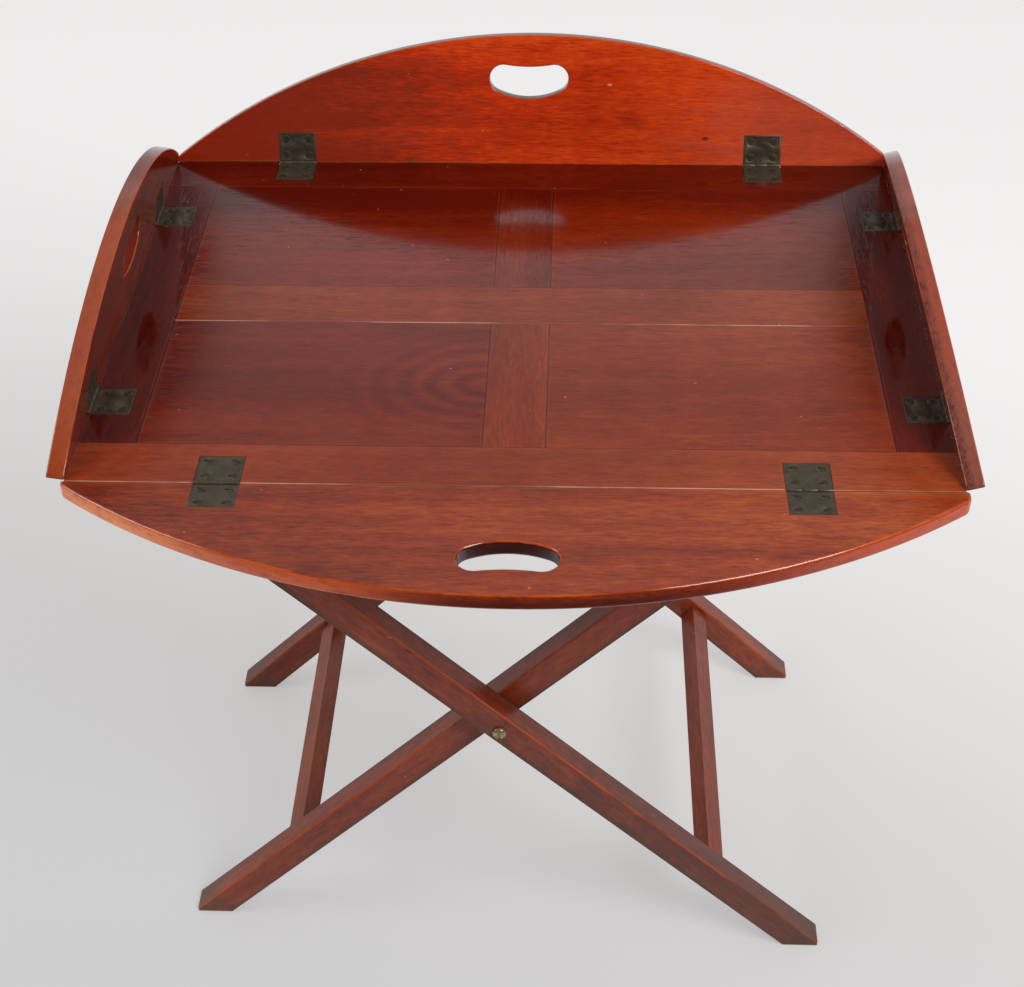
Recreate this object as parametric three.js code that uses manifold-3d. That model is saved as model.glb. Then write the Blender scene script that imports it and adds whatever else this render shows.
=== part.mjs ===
// Drop-side butler tray on a folding X stand, in mahogany with brass hinges.
// Millimetres, +Z up, +X to the right, the front of the tray towards -Y.
// The origin is on the floor under the middle of the whole outline as it stands here:
// front flap let down flat, the other three raised.
import * as THREE from "three";
import { mergeVertices } from "three/addons/utils/BufferGeometryUtils.js";
import Module from "manifold-3d";

const wasm = await Module();
wasm.setup();

// Tray base: a flush frame of grooved members round four panels
const trayWidth = 730;
const trayDepth = 535;
const trayHeight = 660;
const boardThickness = 15;
const railWidth = 52;
const stileWidth = 49;
const midRailWidth = 61;
const muntinWidth = 53;
const tongueLength = 6;
const tongueThickness = 4;
const woodSeam = 0.3;
const fitGap = 0.3;

// Flaps: arc-topped boards with a kidney-shaped hand hole. Their arcs sit a little off-centre.
// None of the raised ones stands quite upright: the back one leans out, the end ones lean in.
const flapJoint = 0.4;
const longFlapOverhang = 3.5;
const longFlapReach = 131.5;
const longFlapEnd = 6.5;
const longFlapShift = 4;
const endFlapOverhang = -1.5;
const endFlapReach = 98;
const endFlapEnd = 7;
const endFlapShift = 6;
const backLeanAngle = -15;
const leftLeanAngle = 9;
const rightLeanAngle = 16.5;
const flapCornerRadius = 5;
const flapEdgeRound = 3;
const holeWidth = 80;
const holeHeight = 34;
const holeLobeRadius = 14;
const holeDip = 3.3;
const holeInset = 47;
const endHoleShift = 12;

// Butler-tray hinges: two flat leaves, three knuckles, four screws in each leaf
const hingeWidth = 38;
const leafThickness = 1.6;
const trayLeafLength = 35.5;
const flapLeafLength = 31;
const knuckleRadius = 2.6;
const pinRadius = 1;
const knuckleGap = 0.3;
const longHingeShare = 0.3288;
const endHingeShare = 0.2925;
const screwSpacing = 23;
const screwInset = 6.5;
const trayScrewPitch = 19;
const flapScrewPitch = 16.5;
const screwRadius = 1.4;
const screwLength = 8;
const screwSlotLength = 6;
const screwSlotWidth = 0.9;
const screwSlotDepth = 0.6;

// Stand: two frames of square-cut legs that cross on brass bolts
const standShift = -17.3;
const standDepth = 424;
const legThickness = 26;
const legWidth = 30;
const legAngle = 45.5;
const legArris = 1.5;
const pivotHeight = 320;
const frameGap = 3;
const footBlunt = 5;
const stretcherWidth = 22;
const stretcherThickness = 19;
const stretcherHeight = 104;
const stretcherTenon = 13;
const tenonDepth = 10;
const topRailWidth = 44;
const topRailDepth = 20;
const legTenonWidth = 18;
const legTenonThickness = 12;
const legTenonHeight = 10;

// Pivot bolts, their spacers and nuts
const boltDrop = 4;
const boltRadius = 4;
const boltHeadRadius = 6.8;
const boltHeadHeight = 3.6;
const boltSlotWidth = 1.6;
const boltSlotDepth = 1.5;
const boltTail = 3;
const spacerRadius = 11;
const nutRadius = 8;
const nutHeight = 6;

// Webbing: two straps nailed over the top rails, which stop the legs spreading
const webbingWidth = 50;
const webbingThickness = 1.8;
const webbingSpread = 220;
const webbingTurnDown = 15;

// Finishes
const panelWood = { color: 0x5c150c, roughness: 0.3, metalness: 0 };
const frameWood = { color: 0x6a1a0e, roughness: 0.3, metalness: 0 };
const flapWood = { color: 0x8e2c14, roughness: 0.35, metalness: 0 };
const standWood = { color: 0x5a1f16, roughness: 0.5, metalness: 0 };
const darkBrass = { color: 0x2b2f26, roughness: 0.5, metalness: 0.8 };
const oldBrass = { color: 0x7a6238, roughness: 0.45, metalness: 0.9 };
const webbingCloth = { color: 0xa58f6a, roughness: 0.95, metalness: 0 };

// Sizes worked out from those above
const roundSteps = 2;
const arcSteps = 32;
const overrun = 5;
const cutDepth = boardThickness + overrun;
const trayUnderside = trayHeight - boardThickness;
const legSlope = THREE.MathUtils.degToRad(legAngle);
const legCut = legWidth / Math.sin(legSlope);
const railTop = trayUnderside - webbingThickness - 2 * fitGap;
const railUnderside = railTop - topRailDepth;

const object = new THREE.Group();
const tray = new THREE.Group();
const stand = new THREE.Group();
stand.position.x = standShift;
object.add(tray, stand);

// Solids for cutting and joining

function solidOf(geometry) {
  const bare = geometry.clone();
  bare.deleteAttribute("normal");
  bare.deleteAttribute("uv");
  const merged = mergeVertices(bare);
  const index = merged.index ? merged.index.array : merged.attributes.position.array.map((_, i) => i);
  return new wasm.Manifold(
    new wasm.Mesh({
      numProp: 3,
      vertProperties: new Float32Array(merged.attributes.position.array),
      triVerts: new Uint32Array(index),
    }),
  );
}

function geometryOf(solid) {
  const mesh = solid.getMesh();
  const geometry = new THREE.BufferGeometry();
  geometry.setAttribute("position", new THREE.BufferAttribute(new Float32Array(mesh.vertProperties), 3));
  geometry.setIndex(new THREE.BufferAttribute(new Uint32Array(mesh.triVerts), 1));
  return geometry;
}

function block(low, high) {
  const size = high.map((h, i) => h - low[i]);
  const geometry = new THREE.BoxGeometry(...size);
  geometry.translate(...high.map((h, i) => (h + low[i]) / 2));
  return geometry;
}

function rodAlongX(from, to, radius, sides, y = 0, z = 0) {
  const geometry = new THREE.CylinderGeometry(radius, radius, to - from, sides);
  geometry.rotateZ(-Math.PI / 2);
  geometry.translate((from + to) / 2, y, z);
  return geometry;
}

function rodAlongY(from, to, radius, sides) {
  const geometry = new THREE.CylinderGeometry(radius, radius, to - from, sides);
  geometry.translate(0, (from + to) / 2, 0);
  return geometry;
}

function rodAlongZ(from, to, radius, sides, x, y) {
  const geometry = new THREE.CylinderGeometry(radius, radius, to - from, sides);
  geometry.rotateX(Math.PI / 2);
  geometry.translate(x, y, (from + to) / 2);
  return geometry;
}

function addPiece(parent, name, shape, finish) {
  const geometry = shape instanceof THREE.BufferGeometry ? shape : geometryOf(shape);
  geometry.computeVertexNormals();
  const piece = new THREE.Mesh(geometry, new THREE.MeshStandardMaterial(finish));
  piece.name = name;
  parent.add(piece);
  return piece;
}

function arcPoints(centreX, centreY, radius, from, to, steps) {
  return Array.from({ length: steps + 1 }, (_, i) => {
    const angle = from + ((to - from) * i) / steps;
    return new THREE.Vector2(centreX + radius * Math.cos(angle), centreY + radius * Math.sin(angle));
  });
}

// Hinges, in a frame on the hinge line: x along it, y away from the tray, z up from the top faces

const knuckleLength = (hingeWidth - 2 * knuckleGap) / 3;
const knuckleStarts = [0, 1, 2].map((i) => -hingeWidth / 2 + i * (knuckleLength + knuckleGap));

function leafLength(side) {
  return side > 0 ? flapLeafLength : trayLeafLength;
}

function screwPlaces(side) {
  const far = leafLength(side) - screwInset;
  const near = far - (side > 0 ? flapScrewPitch : trayScrewPitch);
  return [-screwSpacing / 2, screwSpacing / 2].flatMap((x) => [near, far].map((y) => [x, side * y]));
}

function hingeSeat(side) {
  const reach = leafLength(side) + fitGap;
  const half = hingeWidth / 2 + fitGap;
  const sideways = side > 0 ? [0, reach] : [-reach, 0];
  const cuts = [
    block([-half, sideways[0], -leafThickness - fitGap], [half, sideways[1], overrun]),
    rodAlongX(-half, half, knuckleRadius + fitGap, 10),
  ];
  for (const [x, y] of screwPlaces(side)) {
    const bottom = -leafThickness - screwLength - fitGap;
    cuts.push(rodAlongZ(bottom, overrun, screwRadius + fitGap, 6, x, y));
  }
  return cuts;
}

function hingeLeaf(side) {
  const half = hingeWidth / 2;
  const sideways = side > 0 ? [0, leafLength(side)] : [-leafLength(side), 0];
  let leaf = solidOf(block([-half, sideways[0], -leafThickness], [half, sideways[1], 0]));
  const own = side > 0 ? [1] : [0, 2];
  for (const [i, start] of knuckleStarts.entries()) {
    const end = start + knuckleLength;
    if (own.includes(i)) {
      leaf = leaf.add(solidOf(rodAlongX(start, end, knuckleRadius, 10)));
    } else {
      const clear = rodAlongX(start - knuckleGap, end + knuckleGap, knuckleRadius + fitGap, 10);
      leaf = leaf.subtract(solidOf(clear));
    }
  }
  for (const [x, y] of screwPlaces(side)) {
    const shank = rodAlongZ(-leafThickness - screwLength, -leafThickness / 2, screwRadius, 6, x, y);
    const slotHalf = [screwSlotLength / 2, screwSlotWidth / 2];
    const slot = block(
      [x - slotHalf[0], y - slotHalf[1], -screwSlotDepth],
      [x + slotHalf[0], y + slotHalf[1], overrun],
    );
    leaf = leaf.add(solidOf(shank)).subtract(solidOf(slot));
  }
  const bore = rodAlongX(-half - overrun, half + overrun, pinRadius + fitGap, 8);
  return leaf.subtract(solidOf(bore));
}

function cutSeats(board, side, places) {
  let result = board;
  for (const place of places) {
    for (const cut of hingeSeat(side)) {
      result = result.subtract(solidOf(cut.applyMatrix4(place)));
    }
  }
  return result;
}

// The four sides of the tray: where the hinge line runs, the flap's outline and how it stands

const lineOffset = flapJoint / 2;
const uprightAngle = 90;
const longSide = {
  line: trayDepth / 2,
  length: trayWidth + 2 * longFlapOverhang,
  reach: longFlapReach,
  endHeight: longFlapEnd,
  shift: longFlapShift,
  holeShift: 0,
  hingeAt: trayWidth * longHingeShare,
};
const endSide = {
  line: trayWidth / 2,
  length: trayDepth + 2 * endFlapOverhang,
  reach: endFlapReach,
  endHeight: endFlapEnd,
  shift: endFlapShift,
  holeShift: endHoleShift,
  hingeAt: trayDepth * endHingeShare,
};
const sides = [
  { ...longSide, name: "front", turn: 180, offCentre: -1, raised: 0 },
  { ...longSide, name: "back", turn: 0, offCentre: 1, raised: uprightAngle + backLeanAngle },
  { ...endSide, name: "left", turn: 90, offCentre: 1, raised: uprightAngle + leftLeanAngle },
  { ...endSide, name: "right", turn: -90, offCentre: -1, raised: uprightAngle + rightLeanAngle },
];
for (const side of sides) {
  side.shift *= side.offCentre;
  side.holeShift *= side.offCentre;
  side.place = new THREE.Matrix4().makeRotationZ(THREE.MathUtils.degToRad(side.turn));
  side.place.multiply(new THREE.Matrix4().makeTranslation(0, side.line + lineOffset, trayHeight));
}

function hingePlaces(side) {
  return [-side.hingeAt, side.hingeAt].map((x) => new THREE.Matrix4().makeTranslation(x, 0, 0));
}

// Tray base: each member is a board with tongues on some edges and grooves in others

const trayJoint = woodSeam / 2;

function edgeBlock(low, high, edge, inner, outer, margin) {
  const [axis, sign] = edge;
  const middle = -boardThickness / 2;
  const from = [low[0], low[1], trayHeight + middle - tongueThickness / 2 - margin];
  const to = [high[0], high[1], trayHeight + middle + tongueThickness / 2 + margin];
  if (sign > 0) {
    from[axis] = high[axis] - inner;
    to[axis] = high[axis] + outer;
  } else {
    from[axis] = low[axis] - outer;
    to[axis] = low[axis] + inner;
  }
  return block(from, to);
}

function trayMember(low, high, tongues, grooves) {
  const from = [...low, trayUnderside];
  const to = [...high, trayHeight];
  for (const [axis, sign] of [...tongues, ...grooves]) {
    if (sign > 0) to[axis] -= trayJoint;
    else from[axis] += trayJoint;
  }
  let board = solidOf(block(from, to));
  for (const edge of tongues) {
    board = board.add(solidOf(edgeBlock(from, to, edge, overrun, tongueLength, 0)));
  }
  for (const edge of grooves) {
    const depth = tongueLength + fitGap;
    board = board.subtract(solidOf(edgeBlock(from, to, edge, depth, overrun, fitGap)));
  }
  return board;
}

const left = [0, -1];
const right = [0, 1];
const front = [1, -1];
const back = [1, 1];
const outerX = trayWidth / 2;
const outerY = trayDepth / 2;
const innerX = outerX - stileWidth;
const innerY = outerY - railWidth;
const midY = midRailWidth / 2;
const midX = muntinWidth / 2;

const members = [
  ["front_rail", [-outerX, -outerY], [outerX, -innerY], [], [back], "front"],
  ["back_rail", [-outerX, innerY], [outerX, outerY], [], [front], "back"],
  ["left_stile", [-outerX, -innerY], [-innerX, innerY], [front, back], [right], "left"],
  ["right_stile", [innerX, -innerY], [outerX, innerY], [front, back], [left], "right"],
  ["mid_rail", [-innerX, -midY], [innerX, midY], [left, right], [front, back]],
  ["front_muntin", [-midX, -innerY], [midX, -midY], [front, back], [left, right]],
  ["back_muntin", [-midX, midY], [midX, innerY], [front, back], [left, right]],
];
for (const [name, low, high, tongues, grooves, sideName] of members) {
  let board = trayMember(low, high, tongues, grooves);
  const side = sides.find((each) => each.name === sideName);
  if (side) {
    const places = hingePlaces(side).map((place) => side.place.clone().multiply(place));
    board = cutSeats(board, -1, places);
  }
  addPiece(tray, name, board, frameWood);
}

const panels = [
  ["panel_front_left", [-innerX, -innerY], [-midX, -midY]],
  ["panel_front_right", [midX, -innerY], [innerX, -midY]],
  ["panel_back_left", [-innerX, midY], [-midX, innerY]],
  ["panel_back_right", [midX, midY], [innerX, innerY]],
];
for (const [name, low, high] of panels) {
  addPiece(tray, name, trayMember(low, high, [left, right, front, back], []), panelWood);
}

// Flaps: the outline has short square ends, rounded corners and one long arc

function flapOutline({ length, reach, endHeight, shift }) {
  const half = length / 2;
  const rise = reach - endHeight;
  const radius = (half * half + rise * rise) / (2 * rise);
  const centre = reach - radius;
  const cornerX = half - flapCornerRadius;
  const [rightY, leftY] = [cornerX - shift, cornerX + shift].map(
    (x) => centre + Math.sqrt((radius - flapCornerRadius) ** 2 - x ** 2),
  );
  const start = Math.atan2(rightY - centre, cornerX - shift);
  const end = Math.atan2(leftY - centre, -cornerX - shift);
  const below = -3 * flapEdgeRound;
  return [
    new THREE.Vector2(-half, below),
    new THREE.Vector2(half, below),
    ...arcPoints(cornerX, rightY, flapCornerRadius, 0, start, 2),
    ...arcPoints(shift, centre, radius, start, end, arcSteps).slice(1, -1),
    ...arcPoints(-cornerX, leftY, flapCornerRadius, end, Math.PI, 2),
  ];
}

// The hand hole: two round lobes, a shallow dip between them on the outer side, a belly on the other
function handHole({ reach, holeShift }) {
  const lobeX = holeWidth / 2 - holeLobeRadius;
  const lobeY = holeHeight / 2 - holeLobeRadius;
  const belly = lobeX ** 2 / (4 * lobeY);
  const dip = (lobeX ** 2 + lobeY ** 2 - (lobeY - holeDip) ** 2) / (2 * holeDip);
  const dipRadius = dip - (holeHeight / 2 - holeDip);
  const bellyEnd = Math.atan2(lobeY - belly, lobeX);
  const dipEnd = Math.atan2(lobeY - dip, lobeX);
  const lobeTop = Math.atan2(dip - lobeY, -lobeX);
  const points = [
    ...arcPoints(lobeX, lobeY, holeLobeRadius, bellyEnd, lobeTop, 8),
    ...arcPoints(0, dip, dipRadius, dipEnd, -Math.PI - dipEnd, 4).slice(1, -1),
    ...arcPoints(-lobeX, lobeY, holeLobeRadius, Math.PI - lobeTop, Math.PI - bellyEnd, 8),
    ...arcPoints(0, belly, belly + holeHeight / 2, -Math.PI - bellyEnd, bellyEnd, 8).slice(1, -1),
  ];
  return points.map((point) => new THREE.Vector2(point.x + holeShift, point.y + reach - holeInset));
}

function flapBoard(side) {
  const shape = new THREE.Shape(flapOutline(side));
  shape.holes.push(new THREE.Path(handHole(side)));
  const geometry = new THREE.ExtrudeGeometry(shape, {
    depth: boardThickness - 2 * flapEdgeRound,
    bevelThickness: flapEdgeRound,
    bevelSize: flapEdgeRound,
    bevelOffset: -flapEdgeRound,
    bevelSegments: roundSteps,
  });
  geometry.translate(0, 0, flapEdgeRound - boardThickness);
  const half = side.length / 2 + overrun;
  const butt = block([-half, -cutDepth, -cutDepth], [half, lineOffset, cutDepth]);
  const board = solidOf(geometry).subtract(solidOf(butt));
  return cutSeats(board, 1, hingePlaces(side));
}

for (const side of sides) {
  const line = new THREE.Group();
  line.applyMatrix4(side.place);
  const swing = new THREE.Group();
  swing.rotation.x = THREE.MathUtils.degToRad(side.raised);
  line.add(swing);
  tray.add(line);
  addPiece(swing, `${side.name}_flap`, flapBoard(side), flapWood);
  for (const [i, x] of [-side.hingeAt, side.hingeAt].entries()) {
    const hinge = `${side.name}_hinge_${i + 1}`;
    addPiece(line, `${hinge}_tray_leaf`, hingeLeaf(-1), darkBrass).position.x = x;
    addPiece(swing, `${hinge}_flap_leaf`, hingeLeaf(1), darkBrass).position.x = x;
    const pin = rodAlongX(-hingeWidth / 2, hingeWidth / 2, pinRadius, 8);
    addPiece(line, `${hinge}_pin`, pin, darkBrass).position.x = x;
  }
}

// Legs, round the pivot: a slanted bar cut level at both ends, with its foot tip cut upright

const run = pivotHeight / Math.tan(legSlope);
const legRise = railUnderside - fitGap - pivotHeight;
const legTopX = -legRise / Math.tan(legSlope);
const footTip = run + legCut / 2 - footBlunt;
const stretcherDrop = stretcherHeight - pivotHeight;
const stretcherX = -stretcherDrop / Math.tan(legSlope);

function legBar(inward) {
  const shape = new THREE.Shape([
    new THREE.Vector2(run - legCut / 2, -pivotHeight),
    new THREE.Vector2(footTip, -pivotHeight),
    new THREE.Vector2(footTip, -pivotHeight + footBlunt * Math.tan(legSlope)),
    new THREE.Vector2(legTopX + legCut / 2, legRise),
    new THREE.Vector2(legTopX - legCut / 2, legRise),
  ]);
  const geometry = new THREE.ExtrudeGeometry(shape, {
    depth: legThickness - 2 * legArris,
    bevelThickness: legArris,
    bevelSize: legArris,
    bevelOffset: -legArris,
    bevelSegments: 1,
  });
  geometry.translate(0, 0, legArris - legThickness / 2);
  geometry.rotateX(Math.PI / 2);
  const tenon = block(
    [legTopX - legTenonWidth / 2, -legTenonThickness / 2, legRise - overrun],
    [legTopX + legTenonWidth / 2, legTenonThickness / 2, legRise + legTenonHeight],
  );
  const bore = rodAlongY(-legThickness, legThickness, boltRadius + fitGap, 12);
  bore.translate(0, 0, -boltDrop);
  const hole = stretcherTenon + 2 * fitGap;
  const mortise = new THREE.BoxGeometry(hole, 2 * (tenonDepth + fitGap), hole);
  mortise.rotateY(legSlope);
  mortise.translate(stretcherX, (inward * legThickness) / 2, stretcherDrop);
  return solidOf(geometry).add(solidOf(tenon)).subtract(solidOf(bore)).subtract(solidOf(mortise));
}

function stretcherBar(span) {
  const bar = new THREE.BoxGeometry(stretcherWidth, span - 2 * fitGap, stretcherThickness);
  const tenons = new THREE.BoxGeometry(stretcherTenon, span + 2 * tenonDepth, stretcherTenon);
  return solidOf(bar).add(solidOf(tenons));
}

function topRail(span, legLine) {
  const half = [topRailWidth / 2, span / 2, topRailDepth];
  let rail = solidOf(block([-half[0], -half[1], 0], half));
  for (const y of [-legLine, legLine]) {
    const low = [-legTenonWidth / 2 - fitGap, y - legTenonThickness / 2 - fitGap, -overrun];
    const high = [legTenonWidth / 2 + fitGap, y + legTenonThickness / 2 + fitGap, legTenonHeight + fitGap];
    rail = rail.subtract(solidOf(block(low, high)));
  }
  return rail;
}

const outerLine = standDepth / 2 - legThickness / 2;
const innerLine = outerLine - legThickness - frameGap;
const frames = [
  { name: "outer", line: outerLine, turn: 0 },
  { name: "inner", line: innerLine, turn: Math.PI },
];
for (const { name, line, turn } of frames) {
  const frame = new THREE.Group();
  frame.position.z = pivotHeight;
  frame.rotation.z = turn;
  stand.add(frame);
  const facing = turn ? -1 : 1;
  for (const [end, sign] of [["front", -1], ["back", 1]]) {
    const leg = addPiece(frame, `${name}_leg_${end}`, legBar(-sign * facing), standWood);
    leg.position.y = sign * facing * line;
  }
  const span = 2 * line - legThickness;
  const stretcher = addPiece(frame, `${name}_stretcher`, stretcherBar(span), standWood);
  stretcher.position.set(stretcherX, 0, stretcherDrop);
  stretcher.rotation.y = legSlope;
  const rail = addPiece(frame, `${name}_top_rail`, topRail(2 * line + legThickness, line), standWood);
  rail.position.set(legTopX, 0, legRise + fitGap);
}

// Pivot bolts: a slotted domed head outside, a spacer between the legs, a nut inside

const boltLength = 2 * legThickness + frameGap + 3 * fitGap + nutHeight + boltTail;

function pivotBolt() {
  const profile = [
    new THREE.Vector2(0, boltLength),
    new THREE.Vector2(boltRadius, boltLength),
    new THREE.Vector2(boltRadius, 0),
    new THREE.Vector2(boltHeadRadius, 0),
    new THREE.Vector2(boltHeadRadius, -boltHeadHeight / 3),
    new THREE.Vector2(boltHeadRadius / 2, -boltHeadHeight),
    new THREE.Vector2(0, -boltHeadHeight),
  ].reverse();
  const slot = block(
    [-boltHeadRadius, -boltHeadHeight - overrun, -boltSlotWidth / 2],
    [boltHeadRadius, -boltHeadHeight + boltSlotDepth, boltSlotWidth / 2],
  );
  return solidOf(new THREE.LatheGeometry(profile, 16)).subtract(solidOf(slot));
}

function ring(outside, height, sidesCount) {
  const disc = rodAlongY(0, height, outside, sidesCount);
  const bore = rodAlongY(-overrun, height + overrun, boltRadius + fitGap, 12);
  return solidOf(disc).subtract(solidOf(bore));
}

for (const [end, turn] of [["front", 0], ["back", Math.PI]]) {
  const pivot = new THREE.Group();
  pivot.position.z = pivotHeight - boltDrop;
  pivot.rotation.z = turn;
  stand.add(pivot);
  const face = -standDepth / 2;
  const spacerAt = face + legThickness + fitGap;
  const nutAt = face + 2 * legThickness + frameGap + fitGap;
  addPiece(pivot, `pivot_bolt_${end}`, pivotBolt(), oldBrass).position.y = face - fitGap;
  const spacer = ring(spacerRadius, frameGap - 2 * fitGap, 16);
  addPiece(pivot, `pivot_spacer_${end}`, spacer, oldBrass).position.y = spacerAt;
  addPiece(pivot, `pivot_nut_${end}`, ring(nutRadius, nutHeight, 6), oldBrass).position.y = nutAt;
}

// Webbing straps: flat across the top rails, turned down over their outer faces

function webbingStrap() {
  const outside = -legTopX + topRailWidth / 2 + fitGap + webbingThickness;
  const inside = outside - webbingThickness;
  const top = railTop + fitGap + webbingThickness;
  const under = top - webbingThickness;
  const bottom = top - webbingTurnDown;
  const shape = new THREE.Shape(
    [
      [-outside, bottom],
      [-inside, bottom],
      [-inside, under],
      [inside, under],
      [inside, bottom],
      [outside, bottom],
      [outside, top],
      [-outside, top],
    ].map(([x, z]) => new THREE.Vector2(x, z)),
  );
  const geometry = new THREE.ExtrudeGeometry(shape, { depth: webbingWidth, bevelEnabled: false });
  geometry.translate(0, 0, -webbingWidth / 2);
  geometry.rotateX(Math.PI / 2);
  return geometry;
}

for (const [end, sign] of [["front", -1], ["back", 1]]) {
  addPiece(stand, `webbing_${end}`, webbingStrap(), webbingCloth).position.y = (sign * webbingSpread) / 2;
}

// The origin goes under the middle of the outline

const outline = new THREE.Box3().setFromObject(object, true);
for (const group of [tray, stand]) {
  group.position.x -= (outline.min.x + outline.max.x) / 2;
  group.position.y -= (outline.min.y + outline.max.y) / 2;
}

export default object;
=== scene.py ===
"""A drop-side butler tray in mahogany on its folding stand, seen from above and in front."""

import math

import bpy
from mathutils import Matrix, Vector


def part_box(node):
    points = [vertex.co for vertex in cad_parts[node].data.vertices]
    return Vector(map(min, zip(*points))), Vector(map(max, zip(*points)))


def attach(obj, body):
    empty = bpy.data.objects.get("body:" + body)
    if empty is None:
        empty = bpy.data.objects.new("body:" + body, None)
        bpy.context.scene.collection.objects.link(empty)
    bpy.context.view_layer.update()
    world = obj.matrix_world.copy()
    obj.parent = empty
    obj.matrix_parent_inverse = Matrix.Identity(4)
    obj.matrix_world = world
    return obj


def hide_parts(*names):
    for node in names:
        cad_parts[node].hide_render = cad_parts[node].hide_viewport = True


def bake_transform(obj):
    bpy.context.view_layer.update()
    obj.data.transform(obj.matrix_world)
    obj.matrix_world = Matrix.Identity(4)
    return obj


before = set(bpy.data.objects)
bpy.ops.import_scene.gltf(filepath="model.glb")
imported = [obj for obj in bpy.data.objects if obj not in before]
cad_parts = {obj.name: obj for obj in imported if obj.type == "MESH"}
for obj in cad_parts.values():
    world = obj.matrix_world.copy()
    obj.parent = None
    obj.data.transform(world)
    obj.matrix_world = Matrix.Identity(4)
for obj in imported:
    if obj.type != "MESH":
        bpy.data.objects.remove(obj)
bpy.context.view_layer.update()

# Camera: a person's eye height in front of the tray, looking down on it at about 39 degrees,
# turned a little to the left and rolled by less than a degree.
focal_pixels, picture_width, film_width = 1818.67, 1024, 36
eye = Vector((0.049062, -1.371567, 1.578655))
yaw, pitch, roll = -0.042321, 0.679102, -0.014165
ahead = Vector((math.sin(yaw) * math.cos(pitch), math.cos(yaw) * math.cos(pitch), -math.sin(pitch)))
level = Vector((math.cos(yaw), -math.sin(yaw), 0))
upright = level.cross(ahead)
across = math.cos(roll) * level + math.sin(roll) * upright
upward = math.cos(roll) * upright - math.sin(roll) * level

lens = bpy.data.cameras.new("photograph_view")
lens.sensor_fit = "HORIZONTAL"
lens.sensor_width = film_width
lens.lens = film_width * focal_pixels / picture_width
camera = bpy.data.objects.new("photograph_view", lens)
bpy.context.scene.collection.objects.link(camera)
facing_back = Matrix((across, upward, -ahead)).transposed().to_4x4()
camera.matrix_world = Matrix.Translation(eye) @ facing_back
bpy.context.scene.camera = camera

# Studio: a pale grey floor that runs back without a corner, lit by a wide soft lamp at the right
# front, a weaker one at the left, and the pale room itself. The floor's colour holds painted shade,
# and where it is looked at it partly glows with its own colour.
class Tone:
    """A value that varies over a surface. Sums on it add Math nodes to its material."""

    def __init__(self, nodes, socket=None):
        self.nodes, self.socket = nodes, socket

    def node(self, kind, settings=None, inputs=None, out=0):
        """Adds a node: first its settings, then the values or links of its sockets."""
        node = self.nodes.new("ShaderNode" + kind)
        for key, value in (settings or {}).items():
            if key != "stops":
                setattr(node, key, value)
                continue
            ramp = node.color_ramp
            while len(ramp.elements) < len(value):
                ramp.elements.new(1)
            for element, (position, colour) in zip(ramp.elements, value):
                element.position, element.color = position, colour
        for key, value in (inputs or {}).items():
            if isinstance(value, Tone):
                self.nodes.id_data.links.new(value.socket, node.inputs[key])
            else:
                node.inputs[key].default_value = value
        return Tone(self.nodes, node.outputs[out] if node.outputs else None)

    def sum(self, operation, *terms):
        return self.node("Math", {"operation": operation}, dict(enumerate(terms)))

    def __add__(self, other):
        return self.sum("ADD", self, other)

    def __radd__(self, other):
        return self.sum("ADD", other, self)

    def __sub__(self, other):
        return self.sum("SUBTRACT", self, other)

    def __rsub__(self, other):
        return self.sum("SUBTRACT", other, self)

    def __mul__(self, other):
        return self.sum("MULTIPLY", self, other)

    def __rmul__(self, other):
        return self.sum("MULTIPLY", other, self)

    def __truediv__(self, other):
        return self.sum("DIVIDE", self, other)

    def __abs__(self):
        return self.sum("ABSOLUTE", self)

    def least(self, other):
        return self.sum("MINIMUM", self, other)

    def most(self, other):
        return self.sum("MAXIMUM", self, other)

    def root(self):
        return self.sum("SQRT", self)

    def hypot(self, other):
        """How far off a place is, from its two offsets at a right angle."""
        return (self * self + other * other).root()

    def sine(self):
        return self.sum("SINE", self)

    def between(self, low, high, start=0.0, end=1.0):
        """Runs from start at low to end at high, smoothly, and stays there outside."""
        span = {"Value": self, "From Min": low, "From Max": high, "To Min": start, "To Max": end}
        return self.node("MapRange", {"interpolation_type": "SMOOTHSTEP"}, span)

    def toward(self, other, amount):
        """This colour, mixed towards another by amount."""
        return self.node("Mix", {"data_type": "RGBA"}, {0: amount, 6: self, 7: other}, 2)

    def into(self, shader, entry):
        """Feeds this value to a socket of the material's shader."""
        self.nodes.id_data.links.new(self.socket, shader.inputs[entry])


def paint(red, green, blue):
    """A colour given as the eye reads it, from 0 to 255."""
    return tuple((c / 255) ** 2.2 for c in (red, green, blue)) + (1.0,)


def lamp(name, place, aim, width, watts):
    """A round soft lamp at a place, aimed at another."""
    light = bpy.data.lights.new(name, "AREA")
    light.shape, light.size, light.energy = "DISK", width, watts
    holder = bpy.data.objects.new(name, light)
    bpy.context.scene.collection.objects.link(holder)
    turn = (Vector(place) - Vector(aim)).to_track_quat("Z", "Y")
    holder.matrix_world = Matrix.Translation(place) @ turn.to_matrix().to_4x4()


table_middle = (0, 0, 0.5)
lamp("lamp_right_front", place=(1.9, -2.0, 2.9), aim=table_middle, width=1.8, watts=95)
lamp("lamp_left", place=(-2.6, -0.6, 2.4), aim=table_middle, width=1.6, watts=30)

room = bpy.data.worlds.new("pale_room")
bpy.context.scene.world = room
room.use_nodes = True
room.node_tree.nodes.clear()
air = Tone(room.node_tree.nodes)
way = air.node("TexCoord")
right_way, back_way, up_way = [air.node("SeparateXYZ", {}, {0: way}, i) for i in range(3)]
# The room lights the table from behind and above.
open_side = (back_way + up_way).between(-0.6, 0.5, 0.09, 0.77)
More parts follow.
